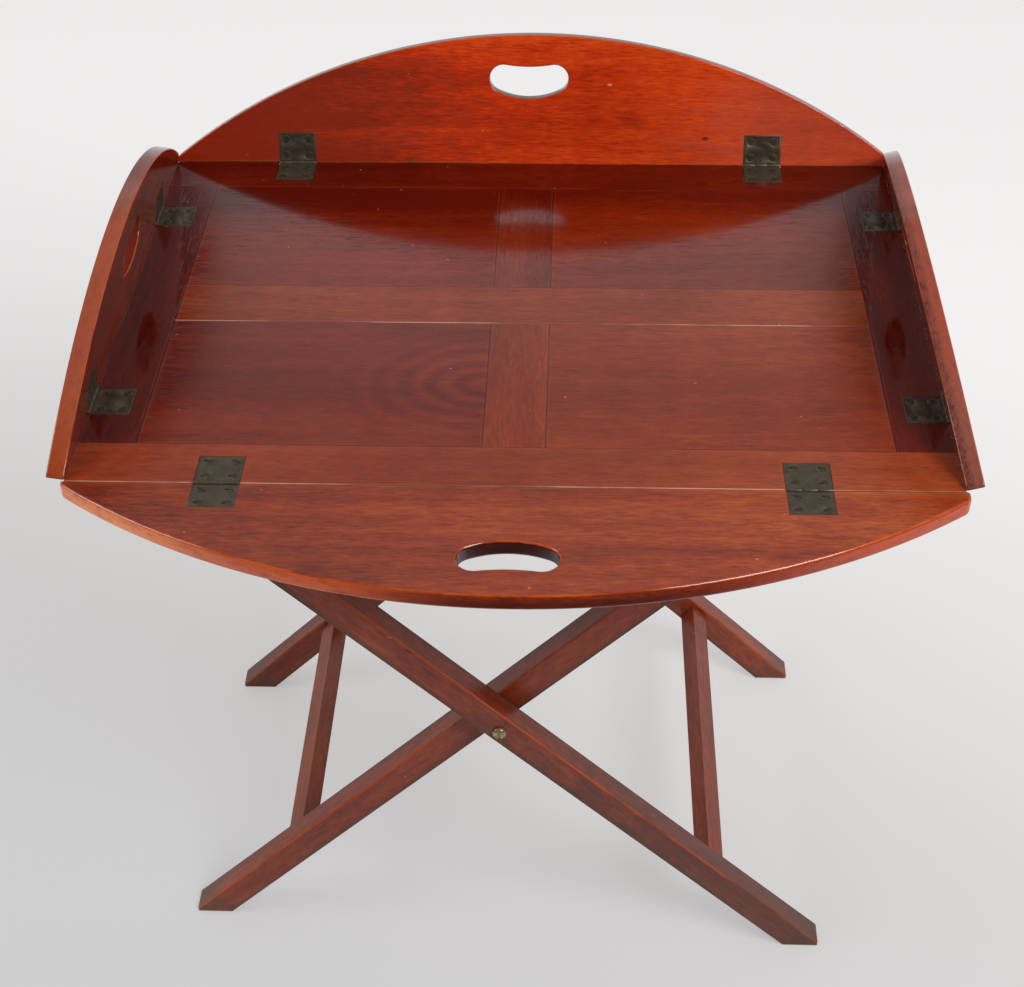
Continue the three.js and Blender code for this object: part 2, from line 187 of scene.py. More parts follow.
# In the polish of the tray it shows as a pale backdrop that gets paler upwards, between two dark
# bowed flags. run is how far back a mirrored ray goes for each metre that it climbs.
rise = up_way.most(0.02)
run = back_way / rise
backdrop = run.between(1.25, 1.75, 0.42, 0.79) + run.between(1.16, 1.27, 0.17, 0.0)
backdrop = backdrop * run.between(2.2, 4.0, 1.0, 0.6)
backdrop = backdrop * (back_way + 0.3 * up_way).between(-0.3, 0.3, 0.12, 1.0)
bow = (run - 1.48) / 0.29
flag = abs(right_way / rise + 0.0525) - 0.0487 * bow * bow
flag = flag.between(0.300, 0.316) * flag.between(0.55, 0.62, 1.0, 0.0)
looked_at, mirrored = air.node("LightPath", out=0), air.node("LightPath", out=3)
seen_in_polish = backdrop * (1 - 0.98 * flag)
strength = looked_at + (1 - looked_at) * (mirrored * seen_in_polish + (1 - mirrored) * open_side)
air.node("OutputWorld", {}, {
    "Surface": air.node("Background", {}, {"Color": paint(243, 243, 245), "Strength": strength}),
})

bpy.ops.object.select_all(action="DESELECT")
floor_size, floor_middle = 24, (0, 3, -0.0005)
bpy.ops.mesh.primitive_grid_add(
    x_subdivisions=8, y_subdivisions=8, size=floor_size, location=floor_middle)
bpy.ops.object.transform_apply(location=True)
floor = bpy.context.object
floor.name = "floor"
floor_paper = bpy.data.materials.new("floor_paper")
floor_paper.use_nodes = True
floor_paper.node_tree.nodes.clear()
sweep = Tone(floor_paper.node_tree.nodes)
spot = sweep.node("TexCoord", out=3)
depth = sweep.node("SeparateXYZ", {}, {0: spot}, 1)
side = sweep.node("SeparateXYZ", {}, {0: spot}, 0)
# Painted shade in the floor's colour: it is darkest round the table's foot and paler to the front,
# the back and the right.
shaded_paper = sweep.node("ValToRGB", {"stops": [
    (0.0, paint(197, 197, 199)), (0.42, paint(214, 212, 211)), (1.0, paint(244, 242, 241))]},
    {0: (abs(depth + 1.0) - 1.0 + 0.45 * side).between(-1.0, 1.5)})
# Painted light: seen directly the floor partly glows; in the polish it is painted darker to the
# front.
looked_at, mirrored = sweep.node("LightPath", out=0), sweep.node("LightPath", out=3)
glow_share = looked_at * 0.6 + mirrored * depth.between(-1.0, -0.65, 0.92, 0.0)
floor.data.materials.append(floor_paper)
sweep.node("OutputMaterial", {}, {"Surface": sweep.node("MixShader", {}, {
    0: glow_share,
    1: sweep.node("BsdfDiffuse", {}, {"Color": shaded_paper}),
    2: sweep.node("Emission", {}, {"Color": shaded_paper, "Strength": 0.12 + 0.88 * looked_at}),
})})

# Tray base: a flush frame of polished mahogany, grooved to hold four panels. The long rails, the
# middle rail and the panels run left to right, the stiles and muntins front to back.
band_grey, pale_speck, bare_arris = (66, 56, 42), (200, 125, 85), (182, 80, 30)


def blank(name):
    """A new material, its shader, and a start for the maths that feeds the shader."""
    finish = bpy.data.materials.new(name)
    finish.use_nodes = True
    nodes = finish.node_tree.nodes
    return finish, nodes["Principled BSDF"], Tone(nodes)


def noise(at, length, width, detail=3.0, rough=0.5):
    """Noise at a place, with so many marks to a metre along the grain and across it."""
    scaled = at.node("VectorMath", {"operation": "MULTIPLY"}, {0: at, 1: (length, width, width)})
    return at.node("TexNoise", {}, {
        "Vector": scaled, "Scale": 1.0, "Detail": detail, "Roughness": rough})


def growth(grain, contrast):
    """How light the wood is along its grain, with the fibres and the mottling in that."""
    sway = grain.node("VectorMath", {"operation": "MULTIPLY"}, {
        0: grain.node("TexNoise", {}, {"Vector": grain, "Scale": 3.0, "Detail": 2.0}, 1),
        1: (0.0, 0.03, 0.03)})
    bent = grain.node("VectorMath", {"operation": "ADD"}, {0: grain, 1: sway})
    streak = noise(bent, 3.5, 60.0, 5.0, 0.62)
    ribbon = noise(bent, 1.6, 13.0, 3.0, 0.5)
    fibre = noise(grain, 75.0, 620.0, 3.0, 0.7)
    mottle = noise(grain, 55.0, 150.0, 4.0, 0.65)
    curl = noise(grain, 16.0, 2.5, 2.0)
    tone = 0.5 + contrast * (
        0.30 * streak + 0.30 * ribbon + 0.34 * fibre + 0.22 * mottle + 0.12 * curl - 0.64)
    return tone, fibre, mottle


def curved_edge(colour, grain, place, flat, rim, ends, hole):
    """The colour, with that of a board's curved edge and hand hole, and painted light and shade
    there.
    """
    along, over, deep = place
    mark, amount, painted_upper_tone, flecked = rim
    edge_on = flat.between(0.25, 0.8, 1.0, 0.0)
    flecks = noise(grain, 80.0, 400.0, 3.0, 0.7).between(0.46, 0.66)
    colour = colour.toward(paint(*mark), edge_on * amount)
    # Painted highlights, reflections and shade along the rim.
    for start_at, reach, start, end, painted_end_tone in ends:
        amount = edge_on * along.between(start_at, start_at + reach, start, end)
        colour = colour.toward(paint(*painted_end_tone), amount)
    stains = noise(grain, 30.0, 160.0, 4.0, 0.65).between(0.48, 0.66)
    colour = colour.toward(paint(*[0.6 * c for c in mark]), edge_on * stains * 0.30)
    # Painted light or shade on the upper part of the rim, next to the best face, broken by flecks
    # of wear.
    upper = deep.between(-0.0100, -0.0025, 0.04, 0.85)
    amount = edge_on * upper * (0.35 + 0.5 * flecks) * flecked
    colour = colour.toward(paint(*painted_upper_tone), amount)
    # Painted shade on the wall of the hand hole, or a painted reflection there.
    x, y, radius, painted_wall_tone = hole
    inside = (along - x).hypot(over - y).between(radius, radius + 0.003, 0.85, 0.0)
    return colour.toward(paint(*painted_wall_tone), edge_on * inside)


def mahogany(name, laid, tones, seed, edges=(), figure=None, spots=(), painted_shading=(), worn=0.5,
             rim=None, ends=(), hole=None, grey_bands=(), gloss=0.10, shine=0.5, contrast=1.0):
    """Polished mahogany. laid puts the piece in its own frame: grain along x, best face up.

    Lengths are in metres in that frame. axis is 0 along the grain, 1 across it and 2 upwards.
    tones: the dark, middle and light colour of the grain; contrast is how far they part
    edges: (axis, place, colour, amount) of a line along a joint: dirt, or wear with a painted
    highlight
    figure: (middle, spread, rings, depth) of a flame in the grain
    spots: (x, y, size, colour, amount) of marks, some of them painted reflection
    painted_shading: (axis, place, reach, start, end) of a slow change of tone, painted light and
    shade
    worn: how much the arrises are rubbed; grey_bands: (axis, place, reach) of a darker grey band
    along them
    rim: (colour, amount, painted light or shade towards the face, flecks) of the edge of a curved
    board
    ends: (place, reach, start, end, colour) of painted highlights, reflections and shade along that
    edge
    hole: (x, y, radius, colour) of painted shade or reflection on the wall of its hand hole
    gloss, shine: roughness and strength of the polish
    """
    finish, shader, wood = blank(name)
    turn = laid.to_euler()
    board = wood.node("Mapping", {}, {
        "Vector": wood.node("TexCoord", out=3), "Rotation": turn,
        "Location": laid.to_translation()})
    place = [wood.node("SeparateXYZ", {}, {0: board}, i) for i in range(3)]
    along, over = place[:2]
    grain = wood.node("VectorMath", {"operation": "ADD"}, {
        0: board, 1: (seed, seed * 2.7, seed * 1.3)})
    tone, fibre, mottle = growth(grain, contrast)
    if figure:
        (x, y), (long, wide), rings, depth = figure
        far = ((along - x) / long).hypot((over - y) / wide)
        ring = far + (noise(grain, 7.0, 12.0, 2.0) - 0.5) * 0.5
        tone = tone + (ring * rings).sine() * ring.between(0.2, 2.4, depth, 0.0)
    # Painted light and shade: slow changes of tone, lighter where the lamps fall and darker in
    # shade.
    for axis, start_at, reach, start, end in painted_shading:
        tone = tone + place[axis].between(start_at, start_at + reach, start, end)

    # The colour of the grain, then darker clouds and pores, pale specks and single marks, some of
    # them painted reflection.
    dark, middle, light = tones
    colour = wood.node("ValToRGB", {"stops": [
        (0.34, paint(*dark)), (0.50, paint(*middle)), (0.66, paint(*light))]}, {0: tone})
    cloud = noise(grain, 2.6, 6.0, 2.0).between(0.45, 0.72)
    colour = colour.toward(paint(*[0.75 * c for c in dark]), cloud * 0.30)
    pores = noise(grain, 60.0, 850.0, 2.0, 0.6).between(0.55, 0.68)
    colour = colour.toward(paint(*[0.42 * c for c in dark]), pores * 0.36)
    specks = wood.node("TexNoise", {}, {"Vector": grain, "Scale": 150.0, "Detail": 1.0})
    colour = colour.toward(paint(*pale_speck), specks.between(0.80, 0.83) * 0.5)
    for x, y, size, mark, amount in spots:  # a little longer along the grain than across it
        far = ((along - x) * 0.6).hypot(over - y)
        blur = far + (mottle - 0.5) * size * 1.6
        colour = colour.toward(paint(*mark), blur.between(size * 0.3, size, amount, 0.0))

    # Edges and arrises are known by the way that they face. Curved edges take painted light and
    # shade, arrises are rubbed, and some pieces are darker and greyer along given faces.
    upright = wood.node("Mapping", {"vector_type": "VECTOR"}, {
        "Vector": wood.node("TexCoord", out=1), "Rotation": turn})
    facing = [abs(wood.node("SeparateXYZ", {}, {0: upright}, i)) for i in range(3)]
    rubbed = noise(grain, 9.0, 60.0, 4.0, 0.65).between(0.36, 0.60)
    if rim:
        colour = curved_edge(colour, grain, place, facing[2], rim, ends, hole)
        arris = facing[2].between(0.30, 0.62).least(facing[2].between(0.80, 0.985, 1.0, 0.0))
    else:
        arris = facing[0].most(facing[1]).most(facing[2]).between(0.80, 0.985, 1.0, 0.0)
    colour = colour.toward(paint(*bare_arris), arris * (0.15 + 0.85 * rubbed) * worn)
    for axis, middle_at, reach in grey_bands:
        near = abs(place[axis] - middle_at).between(0.0, reach, 0.75, 0.0)
        colour = colour.toward(paint(*band_grey), near * (0.4 + 0.9 * mottle))
    # Lines along the joints: dark dirt, and pale lines of wear that are also a painted highlight.
    for axis, line_at, mark, amount in edges:
        near = abs(place[axis] - line_at)
        broken = noise(grain, 9.0, 40.0, 3.0, 0.7).between(0.42, 0.62, 0.12, 1.0)
        colour = colour.toward(paint(*mark), near.between(0.0003, 0.0009, amount, 0.0) * broken)
    colour.into(shader, "Base Color")

    # A thin film polish, smeared by use, over grain that can just be felt.
    smear = noise(grain, 4.0, 7.0, 4.0, 0.6)
    (gloss + 0.08 * (smear - 0.5) + 0.10 * pores).into(shader, "Roughness")
    shader.inputs["IOR"].default_value = 1.56
    shader.inputs["Specular IOR Level"].default_value = shine
    lift = 0.45 * fibre - 0.6 * pores
    wood.node("Bump", {}, {
        "Height": lift, "Strength": 0.08, "Distance": 0.0003}).into(shader, "Normal")
    return finish


def dress(piece, finish):
    """Gives a piece its finish and no other."""
    piece.data.materials.clear()
    piece.data.materials.append(finish)


lengthwise, crosswise = Matrix.Identity(4), Matrix.Rotation(-math.pi / 2, 4, "Z")
deep_red = ((56, 8, 5), (82, 20, 9), (106, 34, 15))
mid_red = ((76, 17, 7), (108, 32, 11), (132, 50, 19))
red = ((70, 15, 7), (100, 30, 12), (124, 47, 19))
brown = ((86, 26, 10), (120, 44, 17), (146, 64, 26))
worn_arris_glint, dirt, rub_and_glint = (214, 176, 150), (30, 9, 6), (150, 84, 60)
# A board's tongue, and how far from a joint the lines run: dirt, wear, and a paler worn arris. Both
# pale lines are also a painted highlight.
tongue, dirt_line, rub_glint_offset, glint_offset = 0.006, 0.0003, 0.0013, 0.0004
glinting_joints = {"front_rail": 0.55, "mid_rail": 0.60}
flame, flame_inset, flame_drop = ((0.080, 0.052), 19.0, 0.052), 0.004, 0.002
# Painted light and shade: rails lighter to the right, back panels and back muntin darker to the
# back.
lit_to_right, shaded_to_back = (0, -0.15, 0.45, 0.0, 0.10), (1, 0.14, 0.12, 0.0, -0.21)
painted_shadings = {"front_rail": [lit_to_right], "mid_rail": [lit_to_right], "panel_back_left": [shaded_to_back],
          "panel_back_right": [(0, 0.05, 0.25, 0.03, 0.06), (1, 0.14, 0.12, 0.0, -0.19)],
          "back_muntin": [(0, 0.16, 0.11, 0.0, -0.18)]}
boards = {
    "front_rail": (lengthwise, brown, 1.3), "back_rail": (lengthwise, deep_red, 4.1),
    "mid_rail": (lengthwise, brown, 7.7), "left_stile": (crosswise, deep_red, 2.9),
    "right_stile": (crosswise, deep_red, 5.3), "front_muntin": (crosswise, brown, 6.1),
    "back_muntin": (crosswise, red, 8.9), "panel_front_left": (lengthwise, red, 3.3),
    "panel_front_right": (lengthwise, brown, 9.7), "panel_back_left": (lengthwise, mid_red, 11.1),
    "panel_back_right": (lengthwise, mid_red, 12.9),
}
for name, (laid, tones, seed) in boards.items():
    low, high = [laid @ Vector(corner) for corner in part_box(name)]
    low, high = [min(a, b) for a, b in zip(low, high)], [max(a, b) for a, b in zip(low, high)]
    # Panels have tongues all round, the two long rails none, and the others at their ends.
    tongues = [tongue, tongue if name.startswith("panel") else 0]
    if name in ("front_rail", "back_rail"):
        tongues = [0, 0]
    edges, figure = [], None
    for axis in (0, 1):
        for place, inward in ((low[axis], 1), (high[axis], -1)):
            # The front edges of these rails get a pale line instead: a worn arris with a painted
            # highlight.
            if name in glinting_joints and axis == 1 and inward > 0:
                edges.append((axis, place + glint_offset, worn_arris_glint, glinting_joints[name]))
                continue
            joint = place + inward * tongues[axis]
            edges.append((axis, joint + inward * dirt_line, dirt, 0.22))
            edges.append((axis, joint + inward * rub_glint_offset, rub_and_glint, 0.14))
    if name == "panel_front_left":
        figure = ((high[0] - flame_inset, (low[1] + high[1]) / 2 - flame_drop), *flame)
    dress(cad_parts[name], mahogany("wood_" + name, laid, tones, seed, edges, figure,
                                         painted_shading=painted_shadings.get(name, ()), contrast=0.8))

# Outer boards of the frame: the two stiles and the two long rails, of the same polished mahogany.
# Their outer edges are brought a hair further out, to the hinge lines where the flaps' edges meet
# them, so that no light shows through the joints.
hair, on_edge = 0.000195, 0.00002
outer_edges = ((0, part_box("left_stile")[0][0], -1), (0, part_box("right_stile")[1][0], 1),
               (1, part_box("front_rail")[0][1], -1), (1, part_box("back_rail")[1][1], 1))
for name in ("left_stile", "right_stile", "front_rail", "back_rail"):
    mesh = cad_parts[name].data.copy()
    for axis, place, outward in outer_edges:
        for corner in mesh.vertices:
            if abs(corner.co[axis] - place) < on_edge:
                corner.co[axis] += outward * hair
    piece = bpy.data.objects.new(name + "_board", mesh)
    bpy.context.scene.collection.objects.link(piece)
    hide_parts(name)
    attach(piece, "tray")

# Flaps: four arc-topped boards of redder mahogany, each with a kidney-shaped hand hole. They hang
# on the tray's hinges and their arrises are rubbed to orange by hands.
def choose(piece):
    """Selects a piece alone and makes it active."""
    bpy.ops.object.select_all(action="DESELECT")
    piece.select_set(True)
    bpy.context.view_layer.objects.active = piece


def fresh(add, name, spin=(0, 0, 0), **size):
    """A new primitive, alone in the selection, with its place in its mesh."""
    bpy.ops.object.select_all(action="DESELECT")
    add(rotation=spin, **size)
    piece = bpy.context.object
    piece.name = name
    bpy.ops.object.transform_apply(location=True, rotation=True, scale=True)
    return piece


def midway(low, high):
    """The middle between two corners."""
    return [(a + b) / 2 for a, b in zip(low, high)]


def block(name, low, high):
    """A box between two corners."""
    return fresh(bpy.ops.mesh.primitive_cube_add, name, size=1, location=midway(low, high),
                 scale=[b - a for a, b in zip(low, high)])


def rod(name, start, end, radius, sides=32, axis=0, at=(0, 0)):
    """A round bar along an axis, from start to end, at the other two places."""
    place = list(at)
    place.insert(axis, (start + end) / 2)
    spin = ((0, math.pi / 2, 0), (math.pi / 2, 0, 0), (0, 0, 0))[axis]
    return fresh(bpy.ops.mesh.primitive_cylinder_add, name, spin, vertices=sides, radius=radius,
                 depth=end - start, location=place)


def soften(piece, width, steps=2, chosen=lambda a, b: True):
    """Rounds the sharp edges whose two ends chosen accepts."""
    choose(piece)
    bpy.ops.object.mode_set(mode="EDIT")
    bpy.ops.mesh.select_mode(type="EDGE")
    bpy.ops.mesh.select_all(action="DESELECT")
    bpy.ops.mesh.edges_select_sharp(sharpness=math.radians(25))
    bpy.ops.object.mode_set(mode="OBJECT")
    corners = piece.data.vertices
    wanted = [edge.select and chosen(*[corners[i].co for i in edge.vertices])
              for edge in piece.data.edges]
    bpy.ops.object.mode_set(mode="EDIT")
    bpy.ops.mesh.select_all(action="DESELECT")
    bpy.ops.object.mode_set(mode="OBJECT")
    for edge, picked in zip(piece.data.edges, wanted):
        edge.select = picked
    bpy.ops.object.mode_set(mode="EDIT")
    bpy.ops.mesh.bevel(offset=width, segments=steps, affect="EDGES", loop_slide=False)
    bpy.ops.object.mode_set(mode="OBJECT")


def trim(piece, cutter):
    """Cuts the piece by the cutter, which is used up."""
    choose(piece)
    cut = piece.modifiers.new("trim", "BOOLEAN")
    cut.operation, cut.solver, cut.object = "DIFFERENCE", "EXACT", cutter
    bpy.ops.object.modifier_apply(modifier="trim")
    bpy.data.objects.remove(cutter)


def join(name, pieces):
    """Makes one piece of several."""
    bpy.ops.object.select_all(action="DESELECT")
    for piece in pieces:
        piece.select_set(True)
    bpy.context.view_layer.objects.active = pieces[0]
    bpy.ops.object.join()
    pieces[0].name = name
    return pieces[0]


def smooth(piece, degrees=35):
    """Shades a piece smoothly across its edges that are blunter than so many degrees."""
    choose(piece)
    bpy.ops.object.shade_smooth_by_angle(angle=math.radians(degrees))


# Board, hand hole, and the seats for the hinges' leaves and knuckles. Cutters stand clear of the
# board's faces by clear_cut. off_line tells the outline from the edges on the hinge line, and slack
# and weld are how near counts as the same place.
board_thick, corner_round, arc_steps, clear_cut = 0.015, 0.005, 720, 0.01
hole_half, hole_high, hole_inset, lobe, dip = 0.040, 0.034, 0.047, 0.014, 0.0021
lobe_steps, belly_steps, wall_radius = 30, 18, 0.045
off_line, slack, weld = 0.0005, 1e-5, 1e-6
seat_wide, seat_long, seat_deep, knuckle_room = 0.0382, 0.0311, 0.0018, 0.0021


def hand_hole(name, x, y):
    """A kidney-shaped plug: two round lobes, a dip on the outer side, a belly on the other."""
    ease, rise = hole_half - lobe, hole_high / 2 - lobe
    belly = ease * ease / (4 * rise)
    dent = (ease * ease + rise * rise - (rise - dip) ** 2) / (2 * dip)
    low_turn, high_turn = math.atan2(rise - belly, ease), math.atan2(dent - rise, -ease)
    dent_turn = math.atan2(rise - dent, ease)
    arcs = (
        (ease, rise, lobe, low_turn, high_turn, lobe_steps),
        (0, dent, dent - hole_high / 2 + dip, dent_turn, -math.pi - dent_turn, belly_steps),
        (-ease, rise, lobe, math.pi - high_turn, math.pi - low_turn, lobe_steps),
        (0, belly, belly + hole_high / 2, -math.pi - low_turn, low_turn, belly_steps),
    )
    places = []
    for middle_x, middle_y, radius, start, end, steps in arcs:
        for i in range(steps):
            turn = start + (end - start) * i / steps
            places.append((x + middle_x + radius * math.cos(turn),
                           y + middle_y + radius * math.sin(turn)))
    plug = fresh(bpy.ops.mesh.primitive_circle_add, name, vertices=len(places), radius=lobe,
                 fill_type="NGON")
    for corner, (px, py) in zip(plug.data.vertices, places):
        corner.co = (px, py, -2 * clear_cut)
    bpy.ops.object.mode_set(mode="EDIT")
    bpy.ops.mesh.select_all(action="SELECT")
    bpy.ops.mesh.extrude_region_move(TRANSFORM_OT_translate={"value": (0, 0, 3 * clear_cut)})
    bpy.ops.mesh.select_all(action="SELECT")
    bpy.ops.mesh.normals_make_consistent(inside=False)
    bpy.ops.object.mode_set(mode="OBJECT")
    return plug


def slice_off(piece, place, outward):
    """Cuts away all that lies beyond place on the outward side, and closes the cut."""
    choose(piece)
    bpy.ops.object.mode_set(mode="EDIT")
    bpy.ops.mesh.select_all(action="SELECT")
    bpy.ops.mesh.bisect(plane_co=place, plane_no=outward, use_fill=True, clear_outer=True)
    bpy.ops.object.mode_set(mode="OBJECT")


def flap(name, long, reach, end_high, arris_round, shift, hole_x, hinge_x):
    """One board on its hinge line: x along it, y away from the tray, its best face up at z 0."""
    half, rise = long / 2, reach - end_high
    radius = (half * half + rise * rise) / (2 * rise)
    piece = rod(name, -board_thick, 0, radius, arc_steps, 2, (shift, reach - radius))
    slice_off(piece, (0, 0, 0), (0, -1, 0))
    slice_off(piece, (half, 0, 0), (1, 0, 0))
    slice_off(piece, (-half, 0, 0), (-1, 0, 0))
    soften(piece, corner_round, 4, lambda a, b: (
        abs(a.z - b.z) > board_thick / 2 and abs(a.x) > half - slack and a.y > off_line))
    trim(piece, hand_hole("hole", hole_x, reach - hole_inset))
    soften(piece, arris_round, 4, lambda a, b: (
        abs(a.z - b.z) < slack and max(a.y, b.y) > off_line))
    for x in (-hinge_x, hinge_x):
        left, right = x - seat_wide / 2, x + seat_wide / 2
        trim(piece, block("seat", (left, -clear_cut, -seat_deep), (right, seat_long, clear_cut)))
        trim(piece, rod("knuckle_room", left, right, knuckle_room))
    bpy.ops.object.mode_set(mode="EDIT")
    bpy.ops.mesh.select_all(action="SELECT")
    bpy.ops.mesh.remove_doubles(threshold=weld)
    bpy.ops.mesh.quads_convert_to_tris(quad_method="BEAUTY", ngon_method="BEAUTY")
    bpy.ops.object.mode_set(mode="OBJECT")
    smooth(piece, 40)
    weigh = piece.modifiers.new("weigh", "WEIGHTED_NORMAL")
    weigh.keep_sharp, weigh.weight = True, 90
    bpy.ops.object.modifier_apply(modifier="weigh")
    return piece


orange = ((136, 32, 10), (194, 54, 15), (224, 82, 28))
warm = ((92, 29, 10), (132, 51, 19), (162, 76, 29))
end_red = ((84, 24, 10), (118, 40, 17), (146, 62, 28))
# Each rim's third colour is painted: light on the front, back and left rims, shade on the right
# one.
dark_rim = ((66, 15, 6), 0.84, (172, 60, 16), 0.6)
left_rim = ((150, 66, 30), 0.62, (160, 72, 40), 0.5)
right_rim = ((146, 66, 42), 0.66, (60, 18, 12), 1.3)
# Painted light along the rims: the front rim pale towards its left end and orange at its right end,
# the side rims pale at their back ends and darker in stretches.
front_rim_lights = [(0.02, 0.14, 0.0, 0.92, (198, 92, 56)), (0.20, 0.12, 0.0, 0.9, (244, 140, 76)),
              (-0.32, 0.22, 0.8, 0.0, (186, 66, 20))]
left_rim_lights = [(-0.04, 0.12, 0.0, 0.7, (84, 36, 22)), (0.21, 0.05, 0.0, 0.7, (196, 170, 162))]
right_rim_lights = [(0.14, 0.12, 0.0, 0.6, (118, 78, 70)), (-0.266, 0.12, 0.7, 0.0, (176, 142, 130))]
shaded_hole_wall, reflecting_hole_wall = (44, 12, 8), (94, 36, 26)
# Along the hinge line: a dark line of dirt, and a pale line of wear that is also a painted
# highlight.
seat_dirt, seat_rub_glint = (1, 0.0003, dirt, 0.7), (1, 0.0014, (150, 96, 56), 0.30)
# Length, reach and blunt end's height of a board, its rounding, and how far its arc and its hand
# hole sit off its middle. The front board is rounded the most.
back_board = (0.737, 0.1315, 0.0065, 0.0014, 0.004, 0.0)
front_board = (*back_board[:3], 0.0028, *back_board[4:])
end_board = (0.532, 0.098, 0.007, 0.0014, 0.006, 0.012)
# Turn on the tray and angle raised in degrees, board, side that it is off centre to, and wood.
sides = {
    # Painted shade and light: the front and back boards darker at the left, the back one also
    # darker at its right end and lighter along its top.
    "front": (180, 0, front_board, -1, warm, 15.9, dict(
        rim=dark_rim, ends=front_rim_lights, painted_shading=[(0, -0.36, 0.7, 0.04, -0.11)])),
    "back": (0, 75, back_board, 1, orange, 14.3, dict(
        rim=dark_rim, painted_shading=[(0, -0.36, 0.40, -0.22, 0.02), (0, 0.16, 0.2, 0.0, -0.12),
                             (1, 0.085, 0.045, 0.0, 0.10)],
        spots=[(0.1814, 0.0275, 0.0032, (62, 8, 4), 0.9), (0.109, 0.046, 0.012, (112, 20, 8), 0.35),
               (0.082, 0.082, 0.0020, (226, 140, 100), 0.8),
               # The last two marks are painted reflection: the right end paler and the left end
               # browner.
               (0.30, 0.03, 0.11, (176, 92, 68), 0.34), (-0.24, 0.05, 0.15, (126, 56, 38), 0.34)])),
    "left": (90, 99, end_board, 1, end_red, 17.1, dict(rim=left_rim, ends=left_rim_lights)),
    "right": (-90, 106.5, end_board, -1, end_red, 18.7, dict(rim=right_rim, ends=right_rim_lights)),
}
for side_name, (round_tray, raised, sizes, off_centre, tones, seed, marks) in sides.items():
    pins = [midway(*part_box(side_name + "_hinge_" + number + "_pin")) for number in ("1", "2")]
    hinge_x = math.dist(*pins) / 2
    line = Matrix.Translation(midway(*pins)) @ Matrix.Rotation(math.radians(round_tray), 4, "Z")
    swung = line @ Matrix.Rotation(math.radians(raised), 4, "X")
    long, reach, end_high, arris_round, shift, hole_x = sizes
    shift, hole_x = shift * off_centre, hole_x * off_centre
    piece = flap(side_name + "_flap_board", long, reach, end_high, arris_round, shift, hole_x,
                 hinge_x)
    piece.data.transform(swung)
    # Painted light in the hand holes: shade on the walls, and a pinkish reflection in the left one.
    painted_wall_tone = reflecting_hole_wall if side_name == "left" else shaded_hole_wall
    dress(piece, mahogany(
        "wood_" + side_name + "_flap", swung.inverted(), tones, seed, edges=[seat_rub_glint, seat_dirt],
        worn=0.8, hole=(hole_x, reach - hole_inset, wall_radius, painted_wall_tone), **marks))
    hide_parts(side_name + "_flap")
    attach(piece, side_name + "_flap_leaf_set")

# Stand: square-cut mahogany legs, duller than the tray, with low stretchers and the two rails
# that carry the tray. Everything is tenoned and glued.
leg_lean = math.radians(45.5)
leg_tones = ((84, 33, 22), (128, 54, 34), (157, 78, 48))
low_tones = ((84, 31, 14), (126, 53, 27), (150, 74, 38))
rail_tones = ((44, 14, 10), (68, 24, 16), (92, 38, 26))
down_right, down_left = Matrix.Rotation(-leg_lean, 4, "Y"), Matrix.Rotation(leg_lean, 4, "Y")
dirty_foot, low_grey = (78, 68, 56), (64, 48, 42)
leg_half, back_band, low_band, dirty_reach, dull_reach = 0.0149, 0.007, 0.006, 0.035, 0.34
for name, laid, seed in (
    ("outer_leg_front", down_right, 21.0), ("outer_leg_back", down_right, 22.3),
    ("inner_leg_front", down_left, 23.9), ("inner_leg_back", down_left, 25.1),
    ("outer_stretcher", crosswise @ down_right, 26.7),
    ("inner_stretcher", crosswise @ down_left, 27.9),
    ("outer_top_rail", crosswise, 29.3), ("inner_top_rail", crosswise, 30.1),
):
    low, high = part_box(name)
    tones, spots, grey_bands = (rail_tones if "rail" in name else low_tones), [], []
    if "leg" in name:
        tones, middle = leg_tones, midway(low, high)
        foot_x = high[0] if name.startswith("outer") else low[0]
        foot = laid @ Vector((foot_x, middle[1], 0))
        pivot = laid @ Vector((middle[0], 0, middle[2]))
        spots = [(foot.x, foot.y, dirty_reach, dirty_foot, 0.6)]
        # The outer front leg is also darker and greyer over its lower part.
        if name == "outer_leg_front":
            spots.append((foot.x, foot.y, dull_reach, low_grey, 0.6))
        grey_bands = [(1, high[1], back_band), (2, pivot.z - leg_half, low_band)]
    dress(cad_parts[name], mahogany("wood_" + name, laid, tones, seed, worn=0.62, gloss=0.30,
                                         shine=0.3, spots=spots, grey_bands=grey_bands))

# Hinges: eight flush butler-tray hinges of cast brass gone nearly black, let into the top faces.
# Each leaf is held by four slotted countersunk screws, and three knuckles turn on a pin.
hinge_width, plate_thick, plate_proud, knuckle_round = 0.038, 0.0016, 0.00005, 0.0019
leaf_reach = {"tray": 0.0355, "flap": 0.031}
screw_rows = {"tray": (0.0100, 0.0290), "flap": (0.0080, 0.0245)}
screw_columns = (-0.0115, 0.0115)
# Countersinks and screw heads are cones: their two radii, their depth and their middle's height.
sink_narrow, sink_wide, sink_deep, sink_middle = 0.0014, 0.0048, 0.0019, -0.0007
head_narrow, head_wide, head_deep, head_middle = 0.0016, 0.0043, 0.0015, -0.0006
slot_half, slot_floor, rim_start = 0.00045, -0.0007, 0.0037
plate_arris, knuckle_arris, head_arris = 0.0003, 0.00025, 0.0005
most_turn, turn_step = 0.5, 2.4
knuckle_long, knuckle_space = 0.01247, 0.0003
knuckle_starts = [-hinge_width / 2 + i * (knuckle_long + knuckle_space) for i in range(3)]


def copied(pattern, name, where):
    """A copy of the pattern with its own mesh, moved to where."""
    piece = bpy.data.objects.new(name, pattern.data.copy())
    bpy.context.scene.collection.objects.link(piece)
    piece.data.transform(where)
    return piece


